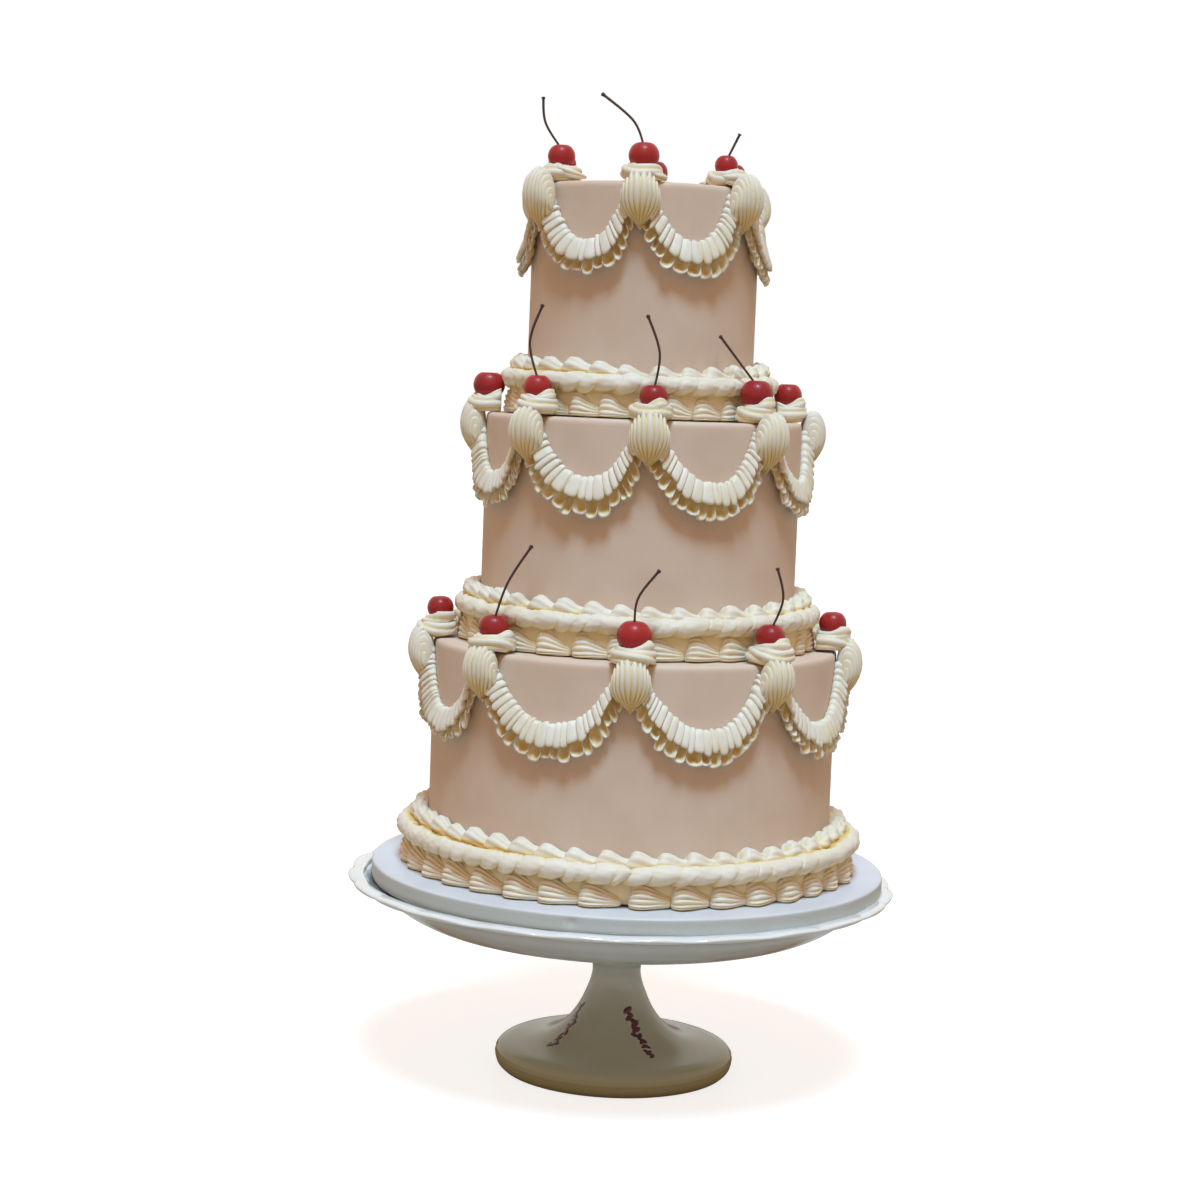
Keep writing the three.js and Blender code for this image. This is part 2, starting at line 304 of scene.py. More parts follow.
def porcelain_material():
    """White glaze, with a duller grey painted shade down the column and over the foot."""
    made = new_material("porcelain", linear(232, 236, 238), linear(226, 230, 232), 0.14, 0.00001)
    tree = made.tree
    height = tree.nodes.new("ShaderNodeSeparateXYZ")
    tree.links.new(made.place.outputs["Object"], height.inputs["Vector"])
    low, high = FOOT_SHADE_TOP * MM, BOWL_WHITE_FROM * MM
    amount = ramp_value(tree, height.outputs["Z"], low, high)
    foot_shade = mix_colours(tree, amount, linear(182, 196, 192), made.mottled.outputs["Color"])
    tree.links.new(foot_shade, made.shader.inputs["Base Color"])
    # The coat and some of the shine fade out low down as well, so that the foot looks darker, as
    # in shade.
    tree.links.new(amount, made.shader.inputs["Coat Weight"])
    sheen = ramp_value(tree, height.outputs["Z"], low, high, 0.2, 0.5)
    tree.links.new(sheen, made.shader.inputs["Specular IOR Level"])
    made.shader.inputs["Coat Roughness"].default_value = 0.05
    made.shader.inputs["Coat IOR"].default_value = 1.7
    return made.material


def cherry_material():
    made = new_material("cherry_skin", linear(172, 36, 38), linear(150, 28, 32), 0.42, 0.00006)
    soften(made.shader, 0.15, (1.0, 0.12, 0.08), 0.002)
    made.shader.inputs["Specular IOR Level"].default_value = 0.3
    made.shader.inputs["Coat Weight"].default_value = 0.12
    made.shader.inputs["Coat Roughness"].default_value = 0.15
    return made.material


def stem_material():
    made = new_material("cherry_stem", linear(74, 36, 30), linear(48, 34, 32), 0.5, 0.00008)
    return made.material


def sprig_material():
    """Plum enamel, a little uneven as brushed paint is."""
    made = new_material("painted_sprig", linear(104, 44, 54), linear(84, 40, 62), 0.2, 0.00001)
    return made.material


CREAM = cream_material()
ICING = icing_material()
BOARD = board_material()
PORCELAIN = porcelain_material()
CHERRY = cherry_material()
STEM = stem_material()
SPRIG = sprig_material()


# ---- making meshes ----

def new_mesh():
    bm = bmesh.new()
    # A per-corner amount of painted shade, which the cream and board materials darken by.
    groove = bm.verts.layers.float.new("groove")
    return bm, groove


def skin(bm, groove, around, along, point):
    """A grid of around by along cells, each corner moved to point(turn, way).

    turn and way run from 0 to 1. point gives a place in millimetres and its painted shade, from 0
    to 1.
    """
    made = bmesh.ops.create_grid(bm, x_segments=around, y_segments=along, size=0.5)
    for vert in made["verts"]:
        place, depth = point(vert.co.x + 0.5, vert.co.y + 0.5)
        vert.co = place * MM
        vert[groove] = depth


def add_piece(name, bm, material, nodes):
    """Closes the mesh, turns its faces outwards, puts it in the scene on the root body and hides
    the parts it stands in for.
    """
    bmesh.ops.remove_doubles(bm, verts=bm.verts, dist=1e-6)
    bmesh.ops.dissolve_degenerate(bm, edges=bm.edges, dist=1e-7)
    bmesh.ops.holes_fill(bm, edges=bm.edges, sides=0)
    bmesh.ops.recalc_face_normals(bm, faces=bm.faces)
    if bm.calc_volume(signed=True) < 0:
        bmesh.ops.reverse_faces(bm, faces=bm.faces)
    mesh = bpy.data.meshes.new(name)
    bm.to_mesh(mesh)
    bm.free()
    mesh.materials.append(material)
    mesh.shade_smooth()
    piece = bpy.data.objects.new(name, mesh)
    bpy.context.scene.collection.objects.link(piece)
    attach(piece, "root")
    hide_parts(*nodes)


def on_ring(axis, radius, azimuth, height):
    """A place at a radius from a vertical axis; azimuth 0 is the front."""
    return Vector((axis + radius * math.sin(azimuth), -radius * math.cos(azimuth), height))


def lerp(first, second, share):
    return first + (second - first) * share


def smooth_step(low, high, value):
    share = min(1.0, max(0.0, (value - low) / (high - low)))
    return share * share * (3 - 2 * share)


def along_points(points, share):
    """A smooth walk through given points, with share from 0 to 1."""
    count = len(points) - 1
    spot = min(share * count, count - 1e-6)
    index = int(spot)
    part = spot - index
    before = points[max(index - 1, 0)]
    first, second = points[index], points[index + 1]
    after = points[min(index + 2, count)]
    return tuple(
        0.5 * (2 * b + (c - a) * part + (2 * a - 5 * b + 4 * c - d) * part ** 2
               + (3 * b - a - 3 * c + d) * part ** 3)
        for a, b, c, d in zip(before, first, second, after))


def ridge(phase, sharpness=0.5):
    """1 on the crest of each fold and 0 in the narrow valley between two."""
    return abs(math.sin(math.pi * phase)) ** sharpness


# ---- the stand and the board ----

RIM_SCALLOPS = 24
STAND_STEPS = 288
# The outside of the stand from the foot's rim up to the plate's flange and over it.
STAND_SIDE = (
    (68, 0), (70.4, 2.5), (71.6, 6.5), (71.2, 10), (69, 12.6), (64, 14.2), (56, 15.3), (47, 17),
    (39, 20), (32, 24.8), (26.5, 30.5), (21.6, 38), (18, 46), (15.5, 53), (14.5, 60),
    (16.5, 66.5), (26, 73.5), (44, 78.5), (70, 82.8), (95, 86.4), (117, 91.2), (129, 96.2),
    (138.5, 102.4), (145, 108), (149.5, 111), (154, 112), (159, 112.5), (161.6, 113.6),
    (161.9, 115), (160, 116.1), (156.6, 116.5), (154, 116.1), (153.3, 114.6), (153.2, 113.3))


def spun(bm, outline, steps):
    """Turns a profile of (radius, height) points round the Z axis."""
    corners = [bm.verts.new((radius * MM, 0, height * MM)) for radius, height in outline]
    edges = [bm.edges.new(pair) for pair in zip(corners, corners[1:])]
    bmesh.ops.spin(
        bm, geom=corners + edges, cent=(0, 0, 0), axis=(0, 0, 1), dvec=(0, 0, 0),
        angle=TAU, steps=steps, use_merge=True, use_duplicate=False)


def smooth_outline(points, steps):
    return [along_points(points, step / steps) for step in range(steps + 1)]


def make_stand():
    outline = [(0, 0), (60, 0), (66.5, 0)] + smooth_outline(STAND_SIDE, 132)
    outline += [(100, PLATE_TOP), (0, PLATE_TOP)]
    bm, _ = new_mesh()
    spun(bm, outline, STAND_STEPS)
    for vert in bm.verts:
        radius = math.hypot(vert.co.x, vert.co.y) / MM
        height = vert.co.z / MM
        azimuth = math.atan2(vert.co.x, -vert.co.y)
        lobe = abs(math.sin(azimuth * RIM_SCALLOPS / 2))
        fade = smooth_step(150, 161, radius) * smooth_step(108, 112.5, height)
        rings = smooth_step(3.0, 5.0, height) * smooth_step(15.5, 13.5, height)
        swell = fade * (2.4 * (lobe ** 0.6 - 0.5) - 0.5)
        swell -= 0.35 * rings * abs(math.sin(height * 1.25)) ** 3
        scale = (radius + swell) / max(radius, 1)
        vert.co.x *= scale
        vert.co.y *= scale
        vert.co.z += 1.3 * fade * (lobe - 0.4) * smooth_step(112.5, 114.5, height) * MM
    add_piece("stand_porcelain", bm, PORCELAIN, ["stand"])


DENT_AZIMUTH = -10.8
SPRAYS = 4
SPRAY_START = 18
SPRAY_LEAVES = 17


def foot_place(run, azimuth):
    """A place on the stand's side, run being its share of the way from foot to flange."""
    radius, height = along_points(STAND_SIDE, run)
    return on_ring(0, radius, azimuth, height)


def make_sprigs():
    """Brushed sprays of small leaves and buds that climb the foot."""
    rng = random.Random("sprigs")
    bm, _ = new_mesh()
    for spray in range(SPRAYS):
        middle = math.radians(SPRAY_START + spray * 360 / SPRAYS)
        for leaf in range(SPRAY_LEAVES):
            share = leaf / (SPRAY_LEAVES - 1)
            run = lerp(0.215, 0.335, share) + rng.uniform(-0.005, 0.005)
            azimuth = middle + math.radians(lerp(16, 5, share) + rng.uniform(-4, 4))
            here = foot_place(run, azimuth)
            above = foot_place(run + 0.004, azimuth)
            beside = foot_place(run, azimuth + 0.02)
            up = (above - here).normalized()
            across = (beside - here).normalized()
            out = across.cross(up).normalized()
            turned = (-1 if leaf % 2 else 1) * rng.uniform(0.5, 1.2)
            long = up * math.cos(turned) + across * math.sin(turned)
            wide = out.cross(long)
            half = rng.uniform(2.0, 3.4)
            shape = Matrix((long * half, wide * half * 0.55, out * 0.25)).transposed()
            made = bmesh.ops.create_uvsphere(bm, u_segments=12, v_segments=8, radius=1.0)
            for vert in made["verts"]:
                vert.co = (here + shape @ vert.co) * MM
    add_piece("foot_sprigs", bm, SPRIG, ["stand"])


def make_board():
    radius = (BOARD_HIGH[0] - BOARD_LOW[0]) / 2 / MM
    axis = (BOARD_HIGH[0] + BOARD_LOW[0]) / 2
    base, top = BOARD_LOW[2] / MM, BOARD_HIGH[2] / MM
    side = [
        (radius - 2.4, base), (radius - 0.8, base + 1), (radius, base + 3), (radius, base + 7),
        (radius, top - 1.8), (radius - 0.5, top - 0.6), (radius - 1.8, top)]
    outline = [(0, base), (radius - 8, base)] + smooth_outline(side, 30)
    outline += [(radius - 12, top), (radius - 30, top), (0, top)]
    bm, groove = new_mesh()
    spun(bm, outline, 360)
    dent = on_ring(0, radius, math.radians(DENT_AZIMUTH), lerp(base, top, 0.62)) * MM
    for vert in bm.verts:
        if not vert.co.x and not vert.co.y:
            continue
        outward = Vector((vert.co.x, vert.co.y, 0)).normalized()
        waver = noise.noise(vert.co * 28) * 0.25
        reach = vert.co - dent
        reach.z *= 0.7
        pit = 1.6 * math.exp(-(reach.length / (1.7 * MM)) ** 2)
        # Painted shade: darker over the whole side below the top edge and in the dent.
        vert[groove] = max(min(1.0, pit), smooth_step(top - 0.4, top - 1.6, vert.co.z / MM))
        vert.co -= outward * (abs(waver) + pit) * MM
        vert.co.x += axis
    add_piece("cake_board", bm, BOARD, ["drum"])


make_stand()
make_sprigs()
make_board()


# ---- the iced tiers ----

def make_icing(tier):
    """A smooth wall and a slightly proud, softened top edge, as a scraper leaves it."""
    radius, base, top = tier.radius, tier.base, tier.top
    wall = [(radius, lerp(base, top - 4, step / 24)) for step in range(25)]
    edge = [(radius - 0.1, top - 2.2), (radius - 0.7, top - 0.8), (radius - 2.2, top - 0.1)]
    lid = [(radius - 5, top), (radius * 0.6, top - 0.4), (radius * 0.2, top - 0.4), (0, top - 0.4)]
    bm, _ = new_mesh()
    spun(bm, [(0, base)] + wall + edge + lid, 180)
    for vert in bm.verts:
        outward = Vector((vert.co.x, vert.co.y, 0))
        if outward.length >= 0.5 * radius * MM:
            sweep = noise.noise(Vector((vert.co.x * 14, vert.co.y * 14, vert.co.z * 5)))
            vert.co -= outward.normalized() * abs(sweep) * 0.6 * MM
        vert.co.x += tier.axis * MM
    add_piece("icing_" + tier.name, bm, ICING, ["tier_" + tier.name])


for tier in TIERS:
    make_icing(tier)


# ---- the piped borders ----

def even_shares(count, rng, spread):
    """Boundaries from 0 to 1 of count folds whose widths vary by spread."""
    widths = [1 + spread * rng.uniform(-1, 1) for _ in range(count)]
    total = sum(widths)
    ends = [0.0]
    for width in widths:
        ends.append(ends[-1] + width / total)
    return ends


def fold_part(way, count):
    """Which of count folds a grid line lies in, with the lines drawn closer to the valleys."""
    spot = way * count + 1e-6
    fold = min(int(spot), count - 1)
    part = min(spot - fold, 1.0)
    return fold, part - 0.6 * math.sin(TAU * part) / TAU


def front_dip(tier, azimuth):
    """The piping runs a little lower round the front of each tier."""
    turn = math.atan2(math.sin(azimuth - FRONT_DIP_AT), math.cos(azimuth - FRONT_DIP_AT))
    return -FRONT_DIP * math.exp(-(turn / math.radians(42)) ** 2)


def make_base_shells(tier):
    """Row 1: fat ribbed shells on a bed of cream, blunt at the left and pulled to a low tail."""
    rng = random.Random("shells" + tier.name)
    bm, groove = new_mesh()
    seam = math.radians(tier.seam)
    mouth = SEAM_GAP / tier.radius
    pitch = (TAU - mouth) / tier.base_shells
    full = tier.bead_proud - ROW_INSET

    def bed(turn, way):
        angle = (turn % 1.0) * TAU
        rough = noise.noise(Vector((way * 60, math.cos(angle), math.sin(angle))))
        outward = 4.8 + (5.4 + 0.5 * rough) * math.cos(angle)
        height = 9.9 + 9.4 * math.sin(angle)
        azimuth = (way % 1.0) * TAU
        place = on_ring(tier.axis, tier.radius + max(outward, -0.5), azimuth, tier.base + height)
        # Painted shade: the bed that shows between the shells is painted straw all over.
        return place, 0.5

    skin(bm, groove, 12, 180, bed)
    for index in range(tier.base_shells):
        size = 1 + rng.uniform(-0.05, 0.05)
        start = seam + mouth / 2 + index * pitch + pitch * rng.uniform(-0.03, 0.03)
        length = pitch * rng.uniform(1.08, 1.18)
        lift = rng.uniform(-0.6, 0.8)
        ribs = rng.choice((14, 15, 16))
        waves = rng.uniform(0, TAU)

        def point(turn, way):
            head = min(1.0, way / 0.26)
            tail = smooth_step(0.28, 0.92, way)
            shoulder = (1 - (1 - head) ** 2.4) ** 0.45 * lerp(1.0, 0.42, tail)
            shoulder *= min(1.0, (1 - way) * 8) ** 0.5
            back = turn > SHELL_FRONT
            if back:
                angle = math.radians(lerp(185, 340, (turn - SHELL_FRONT) / (1 - SHELL_FRONT)))
            else:
                angle = math.radians(lerp(-20, 185, turn / SHELL_FRONT))
            crest = ridge(turn / SHELL_FRONT * ribs + 0.1 * math.sin(5 * way + waves), 0.7)
            crest = 1.0 if back else crest
            reach = shoulder * size * (1 - 0.15 * (1 - crest) * min(1.0, shoulder * 1.4))
            face = math.copysign(abs(math.cos(angle)) ** 0.72, math.cos(angle))
            outward = lerp(4.2, 6.4, tail) + full * reach * face
            rise = 14.6 + lift if math.sin(angle) > 0 else 5.0
            height = 2.0 + rise * reach * math.sin(angle)
            place = on_ring(tier.axis, tier.radius + max(outward, -0.5), start + length * way,
                            tier.base + max(height, 0.4))
            # Painted shade: a little over the whole shell, more in the valleys between ribs,
            # deepening in the hollow before the tail and low down by the board.
            hollow = smooth_step(0.6, 0.92, way) * smooth_step(1.0, 6.0, height) * 0.3
            under = smooth_step(1.6, 0.6, height) * 0.5
            return place, min(1.0, 0.14 + (1 - crest) * 0.5 + hollow + under)

        skin(bm, groove, 88, 16, point)
    add_piece("base_shells_" + tier.name, bm, CREAM, ["border_" + tier.name])


def make_puffs(tier):
    """Row 2: a soft rope of puffs, rippled all over and drooping a little over row 1."""
    rng = random.Random("puffs" + tier.name)
    count = tier.puffs
    ends = even_shares(count, rng, 0.4)
    sizes = [1 + rng.uniform(-0.08, 0.1) for _ in range(count)]
    drops = [rng.uniform(-0.7, 0.7) for _ in range(count)]
    ripples = [rng.uniform(0.3, 1.0) for _ in range(count)]
    depths = [rng.uniform(0.5, 1.4) for _ in range(count)]
    seam = math.radians(tier.seam)
    proud = tier.bead_proud - ROW_INSET
    bm, groove = new_mesh()

    def point(turn, way):
        angle = (turn % 1.0) * TAU
        fold, part = fold_part(way, count)
        share = lerp(ends[fold], ends[fold + 1], part)
        azimuth = seam + share * TAU * 1.003
        crest = ridge(part ** 0.9, 0.5)
        cut = (1 - crest) * depths[fold]
        low = smooth_step(0.2, -0.85, math.sin(angle))
        ripple = ridge(3 * part + 0.5 * math.sin(angle + fold), 0.9) * ripples[fold]
        ripple += 1 - ripples[fold]
        strands = ridge(turn * 11 + 0.9 * share * count, 0.9)
        finish = min(1.0, min(way, 1 - way) * count * 1.8) ** 0.5
        size = lerp(1.0, sizes[fold], crest)
        around = Vector((0, math.sin(angle), math.cos(angle)))
        reach = ROPE_RADIUS * size * finish * (1 - lerp(0.08, 0.27, low) * cut)
        reach -= 0.32 * (1 - ripple) + 0.28 * (1 - strands)
        reach += 0.6 * noise.noise(around + Vector((share * count * 1.7, 0, 0)))
        reach += 0.35 * noise.noise(around * 3 + Vector((share * count * 4, 0, 0)))
        twist = 0.3 / tier.puffs * TAU * math.sin(angle + 0.5)
        outward = proud + 1.04 * max(reach, 0.0) * math.cos(angle)
        height = PUFF_HEIGHT + drops[fold] * crest + max(reach, 0.0) * math.sin(angle)
        height += front_dip(tier, azimuth) * 0.3
        place = on_ring(tier.axis, tier.radius + max(outward, -0.5), azimuth + twist,
                        tier.base + height)
        # Painted shade: in the valleys between puffs, ripples and strands, deepening to ochre on
        # the underside and on the back against the wall.
        under = smooth_step(-0.35, -1.0, math.sin(angle)) * 0.6
        inner = smooth_step(0.4, -0.25, math.cos(angle)) * 0.85
        shade = 0.1 + cut * lerp(0.14, 0.45, low) + (1 - ripple) * 0.16 + (1 - strands) * 0.12
        return place, min(1.0, shade + max(under, inner))

    skin(bm, groove, 33, count * 12, point)
    add_piece("puffs_" + tier.name, bm, CREAM, ["border_" + tier.name])


def make_leaves(tier):
    """Row 3: slanted shells with a high round head, each tail running under the next head."""
    rng = random.Random("leaves" + tier.name)
    bm, groove = new_mesh()
    seam = math.radians(tier.seam)
    pitch = TAU / tier.leaves
    for index in range(tier.leaves):
        size = 1 + rng.uniform(-0.1, 0.1)
        start = seam + index * pitch + pitch * rng.uniform(-0.08, 0.08)
        length = pitch * 1.36
        slant = 3.6 + rng.uniform(-0.8, 0.8)
        lift = rng.uniform(-0.6, 0.6) + front_dip(tier, start)
        phase = rng.uniform(0, 1)

        def point(turn, way):
            angle = (turn % 1.0) * TAU
            head = min(1.0, way / 0.2)
            body = (1 - (1 - head) ** 2.2) ** 0.5 * lerp(1.0, 0.7, smooth_step(0.26, 0.6, way))
            body *= min(1.0, (1 - way) * 6) ** 0.5
            crest = ridge(turn * 8 + phase + 0.3 * way, 0.8)
            reach = ROPE_RADIUS * size * body * (1 - 0.16 * (1 - crest))
            outward = 4.9 + 1.02 * reach * math.cos(angle)
            height = LEAF_HEIGHT + lift - slant * smooth_step(0.1, 1.0, way)
            height += 1.1 * reach * math.sin(angle)
            azimuth = start + length * way + 0.14 * pitch * math.sin(angle)
            place = on_ring(tier.axis, tier.radius + max(outward, -0.5), azimuth,
                            tier.base + max(height, LEAF_LOWEST))
            # Painted shade: in the valleys between ribs, ochre low down where row 3 meets row 2,
            # and some at the tail and at the head's left end.
            low = smooth_step(28.4 + lift, 25.8 + lift, height)
            tail = smooth_step(0.66, 0.8, way) * 0.25 + smooth_step(0.12, 0.0, way) * 0.4
            return place, min(1.0, (1 - crest) * 0.42 + low + tail)

        skin(bm, groove, 40, 15, point)
    add_piece("leaves_" + tier.name, bm, CREAM, ["border_" + tier.name])


for tier in TIERS:
    make_base_shells(tier)
    make_puffs(tier)
    make_leaves(tier)


# ---- the garlands ----

class Swag:
    """The hanging curve between two joints, with distance along it."""

    END_FALL = 4.0
    CURVE = (2.0, 2.7)

    def __init__(self, tier, index, rng):
        joints = tier.joints
        self.tier = tier
        self.start = math.radians(joints[index])
        gap = (joints[(index + 1) % len(joints)] - joints[index]) % 360
        self.span = math.radians(gap) * tier.radius
        self.drop = tier.swag_drop * (1 + rng.uniform(-0.03, 0.03))
        self.middle = 0.5 * self.span + rng.uniform(-1.5, 1.5)
        self.halves = (self.middle - 3.0, self.span - self.middle - 7.0)
        ends = [half * (1 - self.END_FALL / self.drop) ** (1 / power)
                for half, power in zip(self.halves, self.CURVE)]
        # On the left of the cake the folds of the left limb lie square to the curve.
        facing = (joints[index] + gap / 2 + 180) % 360 - 180
        self.leans = (0.95 if facing < 0 else 0.55, 0.5)
        self.table = []
        last = None
        for step in range(SWAG_SAMPLES + 1):
            across = lerp(self.middle - ends[0], self.middle + ends[1], step / SWAG_SAMPLES)
            spot = (across, self.fall(across))
            run = self.table[-1][0] + math.dist(spot, last) if last else 0.0
            self.table.append((run, across))
            last = spot
        self.length = self.table[-1][0]

    def fall(self, across):
        """How far the upper edge hangs below the tier's top."""
        side = 0 if across < self.middle else 1
        away = abs(across - self.middle) / self.halves[side]
        return self.drop * (1 - away ** self.CURVE[side])

    def at(self, way):
        """The place across the span at a share of the curve's length."""
        run = way * self.length
        low, high = 0, len(self.table) - 1
        while high - low > 1:
            middle = (low + high) // 2
            if self.table[middle][0] <= run:
                low = middle
            else:
                high = middle
        first, second = self.table[low], self.table[high]
        part = (run - first[0]) / max(second[0] - first[0], 1e-9)
        return lerp(first[1], second[1], part)

    def width(self, way):
        """The ribbon is narrower on its limbs, most of all on the right one."""
        limb = RIBBON_LIMBS[0] if way < 0.5 else RIBBON_LIMBS[1]
        return lerp(limb, RIBBON_WIDTH, smooth_step(0.06, 0.42, min(way, 1 - way)))

    def place(self, way, reach, proud):
        """A point at reach across the ribbon from its upper edge, and proud of the wall."""
        across = self.at(way)
        step = 0.5
        slope = (self.fall(across + step) - self.fall(across - step)) / (2 * step)
        lean = math.atan(slope) * self.leans[0 if across < self.middle else 1]
        side = -math.sin(lean) * reach
        down = math.cos(lean) * reach
        radius = self.tier.radius + proud
        azimuth = self.start + (across + side) / self.tier.radius
        return on_ring(self.tier.axis, radius, azimuth, self.tier.top - self.fall(across) - down)


# Across the ribbon from its upper edge and out from the wall, once round.
RIBBON_SECTION = (
    (1.6, 0.0), (0.2, 1.4), (0.0, 3.4), (1.0, 5.2), (3.0, 6.4), (5.8, 7.6), (8.6, 8.6),
    (10.8, 9.1), (11.9, 8.8), (12.0, 7.6), (11.2, 6.0), (9.6, 3.8), (8.0, 1.6), (5.6, 0.0),
    (1.6, 0.0))


def limb_fade(way):
    """0 at the two ends of a swag and 1 along its middle."""
    return smooth_step(0.04, 0.3, min(way, 1 - way))


def make_ribbons(tier):
    """Pleats piped side by side: flat fronts that overlap a little, with fingered ends."""
    rng = random.Random("ribbon" + tier.name)
    bm, groove = new_mesh()
    for index in range(len(tier.joints)):
        swag = Swag(tier, index, rng)
        count = round(tier.pleats * swag.length / 88) + rng.choice((-1, 0, 1))
        ends = even_shares(count, rng, 0.4)
        tilts = [rng.uniform(0.4, 1.6) for _ in range(count)]
        depths = [rng.uniform(0.5, 1.3) for _ in range(count)]
        hangs = [rng.uniform(-1.2, 1.5) for _ in range(count)]
        peaks = [rng.uniform(0.2, 1.7) for _ in range(count)]

        def point(turn, way):
            across, proud = along_points(RIBBON_SECTION, turn)
            fold, part = fold_part(way, count)
            share = lerp(ends[fold], ends[fold + 1], part)
            crest = ridge(part, 0.36)
            rising = part if share < 0.5 else 1 - part
            outer = smooth_step(0.4, 3.4, proud)
            lip = smooth_step(5.5, 11.5, across)
            upper = 1 - smooth_step(0.4, 3.6, across)
            cut = (1 - crest) * depths[fold]
            proud -= outer * (lerp(1.1, 2.2, lip) * cut + tilts[fold] * (1 - rising))
            across *= swag.width(share) / RIBBON_WIDTH
            across += lip * (hangs[fold] * crest - 1.9 * cut)
            across += upper * (0.8 * cut - 1.2 * peaks[fold] * rising * crest)
            taper = smooth_step(-0.02, 0.08, share) * smooth_step(-0.02, 0.08, 1 - share)
            proud *= lerp(0.75, 1.0, taper)
            # Painted shade: in the valleys between pleats, deeper towards the lower edge, and full
            # on the ribbon's underside.
            under = smooth_step(0.60, 0.72, turn)
            shade = (1 - crest) ** 1.2 * lerp(0.5, 0.9, lip) + under
            return swag.place(share, across, max(proud, -0.4)), min(1.0, shade)

        skin(bm, groove, 24, count * 8, point)
    add_piece("ribbon_" + tier.name, bm, CREAM, ["garland_" + tier.name])


def make_ruffles(tier):
    """A frill under the ribbon: a row of hanging cups with raised ridges between them, the cups
    painted in shade and the ridges left pale.
    """
    rng = random.Random("ruffle" + tier.name)
    bm, groove = new_mesh()
    for index in range(len(tier.joints)):
        swag = Swag(tier, index, rng)
        count = round(swag.length / tier.cup_pitch)
        ends = even_shares(count, rng, 0.35)
        bulges = [rng.uniform(0.6, 1.3) for _ in range(count)]
        hangs = [rng.uniform(-2.2, 1.6) for _ in range(count)]
        sides = [rng.uniform(0.5, 1.0) for _ in range(count)]
        slides = [rng.uniform(-1.0, 0.6) for _ in range(count)]

        def point(turn, way):
            # Down the inside of the cups, over the rim and up the back.
            front = turn < CUP_FRONT
            share = turn / CUP_FRONT if front else (1 - turn) / (1 - CUP_FRONT)
            fold, part = fold_part(way, count)
            walk = lerp(ends[fold], ends[fold + 1], part)
            cup = math.sin(math.pi * part) ** 0.55 if 0 < part < 1 else 0.0
            ridged = (1 - cup) * smooth_step(0.1, 0.6, share)
            pleat = math.exp(-((part - 0.84) / 0.13) ** 2) * sides[fold]
            start = swag.width(walk) - 3.0
            edge = start + 5.4 + (6.4 + hangs[fold]) * cup * lerp(0.75, 1.0, limb_fade(walk))
            across = lerp(start, edge, share)
            lip = smooth_step(0.55, 1.0, share)
            proud = 4.2 - 2.0 * math.sin(math.pi * min(share * 1.2, 1.0)) * cup * bulges[fold]
            proud += lip * 2.2 * bulges[fold] * cup + 2.2 * pleat * smooth_step(0.1, 0.6, share)
            proud += 2.0 * ridged
            sway = share * (slides[fold] * cup - 0.8 * math.sin(TAU * part))
            if not front:
                proud -= 1.1 * min(1.0, share * 5) * (1 - 0.2 * share)
            taper = smooth_step(-0.02, 0.08, walk) * smooth_step(-0.02, 0.08, 1 - walk)
            proud *= lerp(0.6, 1.0, taper)
            # Painted shade fills the cups; the rims, side pleats and ridges are left pale, as a
            # painted highlight.
            rim = smooth_step(0.72, 0.9, share)
            side = 0.9 * pleat * smooth_step(0.2, 0.6, share)
            shade = 0.9 * (1 - max(rim, side, min(1.0, 1.5 * ridged)))
            return swag.place(walk + sway / swag.length, across, max(proud, 0.2)), shade

        skin(bm, groove, 20, count * 10, point)
    add_piece("ruffle_" + tier.name, bm, CREAM, ["garland_" + tier.name])


